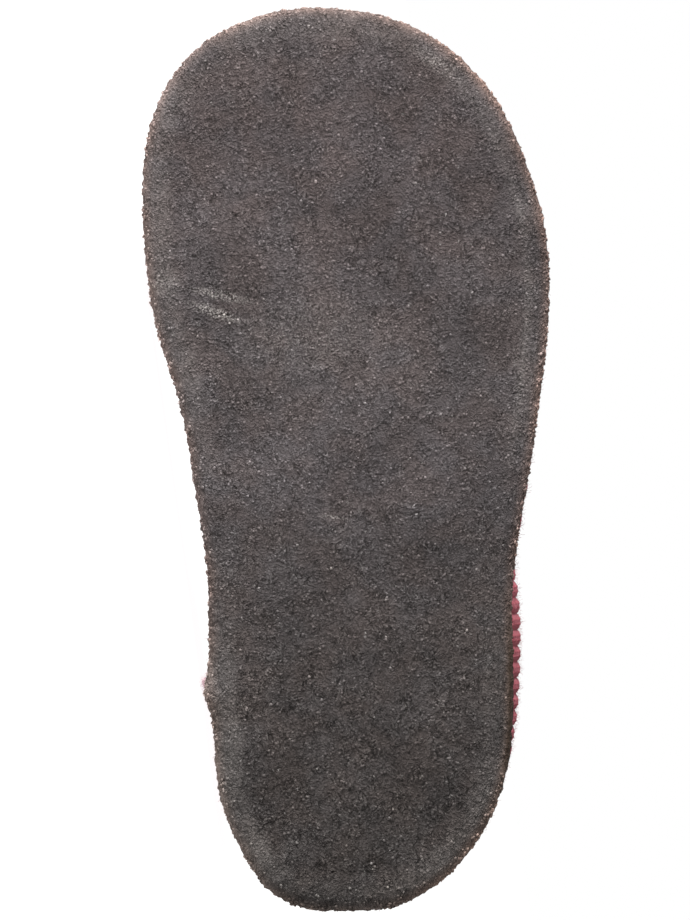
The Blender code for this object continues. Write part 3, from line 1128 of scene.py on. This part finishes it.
        # under the toe the step is trodden out to a long slope
        step_end = self.band_width + self.band_step
        slope = web("MapRange", edge, self.band_width, step_end, interpolation_type="SMOOTHSTEP")
        for share in (web("MapRange", edge, self.slope_end, self.slope_start), toe):
            slope = web("Math", slope, share, operation="MULTIPLY")
        height = web("Math", slope, feed["Toe fill"], height, operation="MULTIPLY_ADD")
        height = web("Math", height, outer, operation="MULTIPLY")
        # the closing seam of the upper ends in a lump under the medial edge
        end = hump(web, apart[1], self.seam_end, self.seam_end_width)
        medial = web("MapRange", apart[0], 0.0, 1.0)
        for share in (hump(web, edge, 0.0, self.crumb_reach), medial, outer):
            end = web("Math", end, share, operation="MULTIPLY")
        height = web("Math", end, feed["Seam end height"], height, operation="MULTIPLY_ADD")
        height = web("Math", strip, feed["Strip swell"], height, operation="MULTIPLY_ADD")
        tree.move(feed["Geometry"], height, feed["Finish"])
        return tree

    def build(self, finish: Material) -> tuple[Piece, Piece]:
        """Makes the sole and the crumbs of its nap.

        Args:
            finish: the suede.

        Returns:
            The sole and the nap.
        """
        outline = self.last.outline(self.per_side)
        inner = self.seam_inset + self.suede
        floor = self.band_rise + self.suede
        rows = self.section()
        rows += [(inner, self.rim_height), (inner, floor + 1.0), (inner + 0.8, floor)]
        surface = Surface()
        rings = [self.last.inset(outline, inset, height) for inset, height in rows]
        numbers = surface.stack(rings)
        surface.ladder(numbers[0], rings[0], self.rungs)
        surface.ladder(numbers[-1], rings[-1], 3, last=True)
        sole = surface.piece("sole_suede", self.last)
        self.marks(sole, outline)
        self.relief(finish).apply(sole)
        nap = Nap("sole_nap", finish, per_square=0.62, size=0.5, seed=7, cluster=1.3).build(sole)
        return sole, nap


@dataclass
class WoolUpper:
    """The upper: one wall of boiled wool from the sole's rim to the topline."""

    last: Last
    wall: float = 2.2
    inset: float = 0.4
    seam_inset: float = 1.1
    seam_height: float = 4.9
    seam_roll: float = 4.0
    toe_box_rise: float = 21.0
    heel_rise: float = 14.0
    topline_drop: float = 12.0
    vamp_reach: float = 0.42
    fullness: float = 0.4
    ridge_lean: float = 3.0
    # t * t * (1 - t) is 1 / 6.75 where it is largest
    ridge_scale: float = 6.75
    crowding: float = 1.35
    per_side: int = 290
    rows: int = 78
    rim_round: float = 0.25
    hem_round: float = 0.35
    inner_step: int = 3
    far_above: float = 99.0
    closing_station: float = 36.3
    seam_pitch: float = 3.0
    closing_pitch: float = 2.6
    thread_drop: float = 0.15
    thread_sink: float = 0.35
    fibre_length: float = 0.95
    tuft_from: tuple[float, float, float] = (20.8, 35.6, 5.0)
    tuft_to: tuple[float, float, float] = (24.0, 37.0, 3.9)
    tuft_radius: float = 1.0
    tuft_oval: tuple[float, float] = (1.5, 0.8)
    tuft_sides: int = 24
    tuft_rings: int = 14

    def outer_grid(self) -> np.ndarray:
        """The outer side's rings from the seam to the topline, as the solid has them."""
        outline = self.last.outline(self.per_side)
        normals = outward(outline)
        seam = self.last.inset(outline, self.inset, self.seam_height)
        top = self.last.topline(len(outline))
        inward = (top - seam) * np.array([1.0, 1.0, 0.0])
        reach = np.linalg.norm(inward, axis=1)
        forward = (reach / reach.max())[:, None]
        full = normals * self.fullness * (1.0 - forward)
        rise = self.heel_rise + (self.toe_box_rise - self.heel_rise) * forward
        first = seam + UP * rise + full
        second = top - UP * self.topline_drop - self.vamp_reach * inward + full
        rings = []
        for row in range(self.rows + 1):
            t = (row / self.rows) ** self.crowding
            ring = (1.0 - t) ** 3 * seam + 3.0 * t * (1.0 - t) ** 2 * first
            ring = ring + 3.0 * t**2 * (1.0 - t) * second + t**3 * top
            near = np.clip(1.0 - (ring[:, 2] - seam[:, 2]) / self.seam_roll, 0.0, 1.0)
            ring = ring - normals * ((self.seam_inset - self.inset) * near**2)[:, None]
            lean = self.ridge_lean * self.ridge_scale * t**2 * (1.0 - t)
            rings.append(ring + forward * np.array([lean, 0.0, 0.0]))
        return np.array(rings)

    def relief(self, finish: Material) -> GeometryTree:
        """The tree that raises the felt's lumps, the seam's puckers and the closing seam."""
        tree = GeometryTree(
            "wool_relief",
            Felt_lump_size=2.0,
            Felt_lump_height=0.75,
            Slack_size=26.0,
            Slack_height=1.2,
            Pucker_pitch=5.5,
            Pucker_height=0.22,
            Pucker_reach=5.0,
            Closing_depth=0.55,
            Finish=finish,
        )
        web, feed = tree.add, tree.inputs
        foot = web("GeometryNodeInputNamedAttribute", "foot", data_type="FLOAT_VECTOR")
        above, around, beside = (
            web("GeometryNodeInputNamedAttribute", name, data_type="FLOAT")
            for name in ("above", "around", "beside")
        )
        noises = []
        for title, detail in (("Felt lump size", 3.0), ("Slack size", 1.0)):
            scale = web("Math", 1.0, feed[title], operation="DIVIDE")
            noise = web("TexNoise", Vector=foot, Scale=scale, Detail=detail)
            noises.append(web("Math", noise, 0.5, operation="SUBTRACT"))
        lump, slack = noises
        height = web("Math", lump, feed["Felt lump height"], operation="MULTIPLY")
        height = web("Math", slack, feed["Slack height"], height, operation="MULTIPLY_ADD")
        # the turned seam gathers the wool into small puckers above it
        turn = web("Math", around, feed["Pucker pitch"], operation="DIVIDE")
        uneven = web("TexNoise", Vector=foot, Scale=1.0 / 9.0, Detail=1.0)
        turn = web("Math", turn, uneven, operation="ADD")
        turn = web("Math", turn, 2.0 * math.pi, operation="MULTIPLY")
        wave = web("Math", turn, operation="SINE")
        fade = hump(web, above, 2.0, feed["Pucker reach"])
        wave = web("Math", wave, fade, operation="MULTIPLY")
        height = web("Math", wave, feed["Pucker height"], height, operation="MULTIPLY_ADD")
        # the closing seam draws the wool in between two soft lips
        lips = hump(web, beside, 1.7, 1.1)
        closing = web("Math", hump(web, beside, 0.0, 0.7), -1.0, operation="MULTIPLY")
        closing = web("Math", lips, 0.55, closing, operation="MULTIPLY_ADD")
        height = web("Math", closing, feed["Closing depth"], height, operation="MULTIPLY_ADD")
        height = web("Math", height, web("MapRange", above, 0.0, 2.0), operation="MULTIPLY")
        tree.move(feed["Geometry"], height, feed["Finish"])
        return tree

    def seam_end(self, finish: Material) -> Piece:
        """Makes the tuft of wool that the closing seam ends in, under the sole's medial edge."""
        start, tip = np.array(self.tuft_from), np.array(self.tuft_to)
        along, high = self.tuft_oval
        turn = np.linspace(0.0, 2.0 * math.pi, self.tuft_sides, endpoint=False)
        circle = np.stack([0.0 * turn, along * np.cos(turn), high * np.sin(turn)], axis=1)
        rings = []
        for share in np.linspace(0.0, 0.98, self.tuft_rings):
            girth = self.tuft_radius * math.sqrt(1.0 - share**3)
            rings.append(start + (tip - start) * share + girth * circle)
        surface = Surface()
        numbers = surface.stack(rings)
        surface.ladder(numbers[0], rings[0], 3)
        surface.ladder(numbers[-1], rings[-1], 3, last=True)
        tuft = surface.piece("seam_end", self.last)
        lumpy("tuft_relief", size=0.9, height=1.0, finish=finish, middle=0.45).apply(tuft)
        for name in ("nap", "nap_size"):
            mark(tuft, name, np.ones(len(tuft.data.vertices)))
        return tuft

    def build(self, finish: Material, fluff: Material, thread: Material) -> list[Piece]:
        """Makes the upper.

        Args:
            finish: the wool.
            fluff: the teased wool of the closing seam's end.
            thread: the sewing thread.

        Returns:
            The upper, its loose fibres, its two seams' stitches and the closing seam's end.
        """
        grid = self.outer_grid()
        along = np.roll(grid, -1, axis=1) - np.roll(grid, 1, axis=1)
        normals = np.cross(along, np.gradient(grid, axis=0))
        normals /= np.linalg.norm(normals, axis=2)[:, :, None]
        rim = grid[-1] - 0.5 * self.wall * normals[-1] + self.rim_round * UP
        hem = grid[0] - 0.5 * self.wall * normals[0] - self.hem_round * UP
        inside = range(self.rows, -1, -self.inner_step)
        inner = [grid[i] - self.wall * normals[i] for i in inside]
        surface = Surface()
        numbers = surface.stack([*grid, rim, *inner, hem])
        surface.strip(numbers[-1], numbers[0])
        upper = surface.piece("upper_wool", self.last)
        climb = np.linalg.norm(np.diff(grid, axis=0), axis=2).cumsum(axis=0)
        above = np.concatenate([np.zeros((1, grid.shape[1])), climb])
        steps = np.linalg.norm(np.roll(grid[0], -1, axis=0) - grid[0], axis=1)
        around = np.concatenate([[0.0], steps.cumsum()[:-1]])
        away = np.abs(grid[0, :, 1] - self.closing_station) + 1e3 * (grid[0, :, 0] < 0.0)
        column = int(np.argmin(away))
        outside, hidden = np.ones(above.shape), np.zeros((len(inner) + 2, len(around)))
        rows = len(grid) + len(hidden)
        mark(upper, "above", np.concatenate([above, hidden + self.far_above]))
        mark(upper, "around", np.tile(around, (rows, 1)))
        mark(upper, "beside", np.tile(np.abs(around - around[column]), (rows, 1)))
        mark(upper, "nap", np.concatenate([outside, hidden]))
        mark(upper, "nap_size", np.ones((rows, len(around))))
        self.relief(finish).apply(upper)
        fuzz = Nap(
            "upper_fibres",
            finish,
            per_square=0.42,
            size=self.fibre_length,
            seed=21,
            fibres=True,
            tilt=1.0,
        ).build(upper)
        tuft = self.seam_end(fluff)
        wisps = Nap(
            "seam_end_fibres", fluff, per_square=22.0, size=0.7, seed=5, fibres=True, tilt=0.8
        ).build(tuft)
        # the turned seam: a ladder of thread between the rim and the wool
        ring = np.concatenate([grid[0], grid[0, :1]])
        count = round(steps.sum() / self.seam_pitch)
        places = spaced_evenly(ring, count + 1)[:-1] - self.thread_drop * UP
        out = outward(places)
        row = StitchRow("sole_seam", Stitch.LADDER, width=0.8, height=1.5, yarn=0.5, finish=thread)
        seam = row.build(self.last, places, out, np.tile(UP, (count, 1)))
        # the closing seam: slanted stitches over the two edges
        line = grid[:, column]
        count = round(above[-1, column] / self.closing_pitch)
        places = spaced_evenly(line, 2 * count + 1)[1::2]
        near = np.abs(line[:, 2][None] - places[:, 2][:, None]).argmin(axis=1)
        up = np.gradient(line, axis=0)[near]
        up /= np.linalg.norm(up, axis=1)[:, None]
        row = StitchRow(
            "closing_seam", Stitch.OVERCAST, width=2.6, height=1.9, yarn=0.5, finish=thread
        )
        closing = row.build(
            self.last, places - self.thread_sink * normals[near, column], normals[near, column], up
        )
        return [upper, fuzz, seam, closing, tuft, wisps]


@dataclass
class KnitCuff:
    """The cuff: a band of rib knit, folded double, that stands on the topline."""

    last: Last
    height: float = 17.0
    gap: float = 0.3
    crown: float = -0.6
    section_rows: tuple[tuple[float, float, float], ...] = (
        # height as a share of the cuff's, stand of its middle from the topline, thickness
        (0.00, -1.05, 2.2),
        (0.05, -0.80, 3.0),
        (0.24, 0.20, 3.2),
        (0.48, 0.70, 3.2),
        (0.72, 0.45, 3.2),
        (0.90, -0.20, 3.0),
        (0.97, -0.50, 2.0),
    )
    rib_pitch: float = 2.62
    rib_height: float = 0.5
    rib_bluntness: float = 0.6
    rib_run_in: float = 2.0
    rib_start: float = 0.25
    thread_sink: float = 0.45
    ground_depth: float = 0.26
    heel_lean: float = 0.9
    lean_from: float = 46.0
    lean_over: float = 18.0
    fuzz_length: float = 0.75
    fluffy_share: float = 0.6
    stitch_depth: float = 0.35
    per_rib: int = 10
    section_points: int = 44
    samples: int = 4000
    stitch_height: float = 1.3
    stitch_share: float = 0.74
    yarn: float = 0.66

    def section(self, count: int) -> tuple[np.ndarray, np.ndarray]:
        """The section from the outer side's foot over the crown to the inner side's foot.

        Args:
            count: how many points it has.

        Returns:
            Its points, evenly spaced, and the directions away from the cloth there, each as stand
            and height.
        """
        rows = self.section_rows
        outer = [(middle + 0.5 * thick, share) for share, middle, thick in rows]
        inner = [(middle - 0.5 * thick, share) for share, middle, thick in reversed(rows)]
        knots = np.array([*outer, (self.crown, 1.0), *inner]) * np.array([1.0, self.height])
        closed = periodic_spline(knots, 2000)
        foot = int(np.argmin(np.abs(closed - knots[-1]).sum(axis=1)))
        line = spaced_evenly(closed[: foot + 1], count)
        along = np.gradient(line, axis=0)
        facing = np.stack([along[:, 1], -along[:, 0]], axis=1)
        return line, facing / np.linalg.norm(facing, axis=1)[:, None]

    def base(self) -> tuple[np.ndarray, int]:
        """The topline, evenly spaced with a whole number of ribs, and that number."""
        line = self.last.topline(self.samples)
        line = np.concatenate([line, line[:1]])
        girth = np.linalg.norm(np.diff(line, axis=0), axis=1).sum()
        ribs = round(girth / self.rib_pitch)
        return spaced_evenly(line, ribs * self.per_rib + 1)[:-1], ribs

    def build(self, ground: Material, yarn: Material, thread: Material) -> list[Piece]:
        """Makes the cuff.

        Args:
            ground: the finish of the cloth between the ribs, the yarn's colour darkened as painted
                shade.
            yarn: the finish of the stitches.
            thread: the sewing thread.

        Returns:
            The ribbed band, the stitches on its ribs, the stitches that hold it to the upper, and
            its loose fibres.
        """
        base, ribs = self.base()
        normals = outward(base)
        foot = base + UP * self.gap
        line, facing = self.section(self.section_points)
        phase = np.arange(len(base)) * (2.0 * math.pi / self.per_rib)
        round_rib = np.abs(np.cos(0.5 * phase)) ** self.rib_bluntness
        wave = (self.rib_height * round_rib - self.ground_depth)[:, None]
        ends = np.clip(line[:, 1] / self.rib_run_in, self.rib_start, 1.0)
        behind = np.clip((self.lean_from - base[:, 1]) / self.lean_over, 0.0, 1.0)[:, None]
        lean = normals * behind * (self.heel_lean / self.height)
        rings = []
        for (stand, height), (side, rise), end in zip(line, facing, ends):
            face = normals * side + UP * rise
            place = foot + normals * stand + (UP - lean) * height
            rings.append(place + end * wave * face)
        surface = Surface()
        numbers = surface.stack(rings)
        surface.strip(numbers[-1], numbers[0])
        band = surface.piece("cuff_band", self.last)
        lumpy("band_relief", size=1.4, height=0.2, finish=ground).apply(band)
        outer = np.repeat(np.arange(len(rings)) < self.fluffy_share * len(rings), len(base))
        mark(band, "nap", outer)
        mark(band, "nap_size", np.ones(len(outer)))
        fuzz = Nap(
            "cuff_fibres",
            yarn,
            per_square=1.5,
            size=self.fuzz_length,
            seed=31,
            fibres=True,
            tilt=1.0,
        ).build(band)
        length = np.linalg.norm(np.diff(line, axis=0), axis=1).sum()
        courses = round(length / self.stitch_height)
        line, facing = (half[1::2] for half in self.section(2 * courses + 1))
        crests = slice(0, None, self.per_rib)
        outwards = normals[crests]
        places, out, up = [], [], []
        for (stand, height), (side, rise) in zip(line, facing):
            face = outwards * side + UP * rise
            depth = self.stitch_depth * min(1.0, 0.4 + height / 3.0)
            place = foot[crests] + outwards * stand + (UP - lean[crests]) * height
            places.append(place - depth * face)
            out.append(face)
            up.append(UP * side - outwards * rise)
        wide = self.stitch_share * self.rib_pitch
        row = StitchRow("cuff_stitches", Stitch.KNIT, wide, length / courses, self.yarn, yarn)
        knit = row.build(self.last, *(np.concatenate(part) for part in (places, out, up)))
        between = slice(self.per_rib // 2, None, self.per_rib)
        row = StitchRow(
            "cuff_seam", Stitch.OVERCAST, width=1.9, height=2.2, yarn=0.5, finish=thread
        )
        sewn = row.build(
            self.last,
            base[between] - self.thread_sink * normals[between],
            normals[between],
            np.tile(UP, (ribs, 1)),
        )
        log.info("cuff: %d ribs, %d courses", ribs, courses)
        return [band, knit, sewn, fuzz]


@dataclass
class FeltInsole:
    """The insole: a sheet of pressed felt in the sole's tray."""

    last: Last
    inset: float = 3.6
    bottom: float = 2.5
    thickness: float = 3.0
    rounding: float = 0.6
    per_side: int = 170
    rungs: int = 50

    def build(self, finish: Material) -> list[Piece]:
        """Makes the insole."""
        outline = self.last.outline(self.per_side)
        top = self.bottom + self.thickness
        rows = [
            (self.inset + self.rounding, self.bottom),
            (self.inset, self.bottom + self.rounding),
            (self.inset, top - self.rounding),
            (self.inset + 0.2, top - 0.2),
            (self.inset + self.rounding, top),
            (self.inset + 2.0, top),
        ]
        surface = Surface()
        rings = [self.last.inset(outline, inset, height) for inset, height in rows]
        numbers = surface.stack(rings)
        surface.ladder(numbers[0], rings[0], 3)
        surface.ladder(numbers[-1], rings[-1], self.rungs, last=True)
        insole = surface.piece("insole_felt", self.last)
        relief = lumpy("felt_relief", size=3.0, height=0.35, finish=finish, detail=3.0)
        return [relief.apply(insole)]


@dataclass
class Studio:
    """A lit white table in white surroundings, soft lights, and a camera square to the sole."""

    last: Last
    frame_height: float = 148.4
    frame_middle: tuple[float, float] = (0.8, 72.9)
    lens: float = 420.0
    sensor: float = 36.0
    rise: float = 1.0
    table_radius: float = 8.0
    table_sides: int = 64
    shine: float = 0.29
    lamps: tuple[tuple[str, tuple[float, float, float], float, float], ...] = (
        # name, place and size in metres, power in watts
        ("key", (-0.85, -0.5, 0.25), 0.3, 23.0),
        ("fill", (0.6, -1.4, 1.1), 1.0, 4.0),
        ("back", (-0.6, 0.9, 0.8), 0.6, 9.0),
    )

    def table(self) -> None:
        """Makes the pale floor, at the height where the nap's lowest crumbs touch it."""
        turns = np.linspace(0.0, 2.0 * math.pi, self.table_sides, endpoint=False)
        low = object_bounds()[0][2]
        reach = self.table_radius
        ring = [(reach * math.cos(turn), reach * math.sin(turn), low) for turn in turns]
        mesh = bpy.data.meshes.new("light_table")
        mesh.from_pydata(ring, [], [list(range(len(ring)))])
        table = put("light_table", mesh)
        mesh.materials.append(LightTable().build())
        table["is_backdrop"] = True

    def surroundings(self) -> None:
        """Makes the world: white to look at, and dimmer as a light, so that the key light shows."""
        world = bpy.data.worlds.new("studio")
        world.use_nodes = True
        tree = world.node_tree
        seen, shines = (
            add(tree, "Background", linear("#FFFFFF"), strength) for strength in (1.0, self.shine)
        )
        looked_at = add(tree, "LightPath").outputs["Is Camera Ray"]
        both = add(tree, "MixShader", looked_at, shines, seen)
        tree.links.new(both.outputs[0], tree.nodes["World Output"].inputs["Surface"])
        bpy.context.scene.world = world

    def light(self, name: str, place: tuple, size: float, power: float) -> None:
        """Makes one soft square light that shines from a place, in metres, at the slipper."""
        lamp = bpy.data.lights.new(name, "AREA")
        lamp.size, lamp.energy = size, power
        holder = put(name, lamp)
        holder.location = place
        direction = Vector(place) - Vector((0.0, 0.0, 0.03))
        holder.rotation_euler = direction.to_track_quat("Z", "Y").to_euler()

    def camera(self) -> None:
        """Puts the camera square to the sole, a little above, with the toe at its top."""
        x, y = self.frame_middle
        aim = Vector(self.last.place(np.array([[x, y, 0.0]]))[0])
        distance = self.frame_height * MM * self.lens / self.sensor
        rise = math.radians(self.rise)
        side = self.last.direction(-1.0, 0.0, 0.0)
        back = (Vector((0.0, -math.cos(rise), 0.0)) + side * math.sin(rise)).normalized()
        top = self.last.direction(0.0, 1.0, 0.0)
        across = top.cross(back).normalized()
        turn = Matrix((across, top, back)).transposed()
        data = bpy.data.cameras.new("camera")
        data.lens, data.sensor_width, data.clip_start = self.lens, self.sensor, 0.01
        data.clip_end = 50.0
        holder = put("camera", data)
        holder.matrix_world = Matrix.Translation(aim + back * distance) @ turn.to_4x4()
        bpy.context.scene.camera = holder

    def build(self) -> None:
        """Makes the whole studio."""
        bpy.context.scene.view_settings.view_transform = "Standard"
        self.surroundings()
        self.table()
        for name, place, size, power in self.lamps:
            self.light(name, place, size, power)
        self.camera()


def hand_over(pieces: list[Piece], slot: str, node: str) -> None:
    """Gives finished pieces to the frame.

    Args:
        pieces: the pieces, the main one first.
        slot: the name of a material slot, which is only logged.
        node: the solid.
    """
    for piece in pieces:
        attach(piece, "root")
        log.info("%s rides on root in slot %s", piece.name, slot)
    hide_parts(node)


def main() -> None:
    """Builds the sub-assemblies in order and hands them to the frame."""
    logging.basicConfig(level=logging.INFO, format="%(name)s: %(message)s")
    last = Last()
    suede = SplitSuede().build()
    boiled = Wool("wool_boiled_raspberry", "#712A37", "#92404D", "#AC616C").build()
    fluff = Wool("wool_fluff_rose", "#9C7C84", "#C2A3AA", "#DCC8CC", lump=0.8).build()
    knitted = Wool("wool_yarn_raspberry", "#7C353D", "#9E5059", "#B47077", lump=1.2).build()
    # painted shade: the cloth between the ribs is a darker copy of the rib yarn
    shaded = Wool("wool_rib_ground_shaded", "#6E3039", "#944E57", "#AE6C74", lump=1.2).build()
    pressed = Wool("felt_pressed_natural", "#8A7F70", "#B3A894", "#D6CDBC", fuzz=0.2).build()
    thread = Wool("thread_twisted_raspberry", "#4A1B25", "#7A343F", "#A8646E", fuzz=0.1).build()
    hand_over(list(SuedeSole(last).build(suede)), "outsole", "outsole")
    hand_over(WoolUpper(last).build(boiled, fluff, thread), "upper", "upper")
    hand_over(KnitCuff(last).build(shaded, knitted, thread), "cuff", "cuff")
    hand_over(FeltInsole(last).build(pressed), "insole", "insole")
    Studio(last).build()


if __name__ == "__main__":
    main()
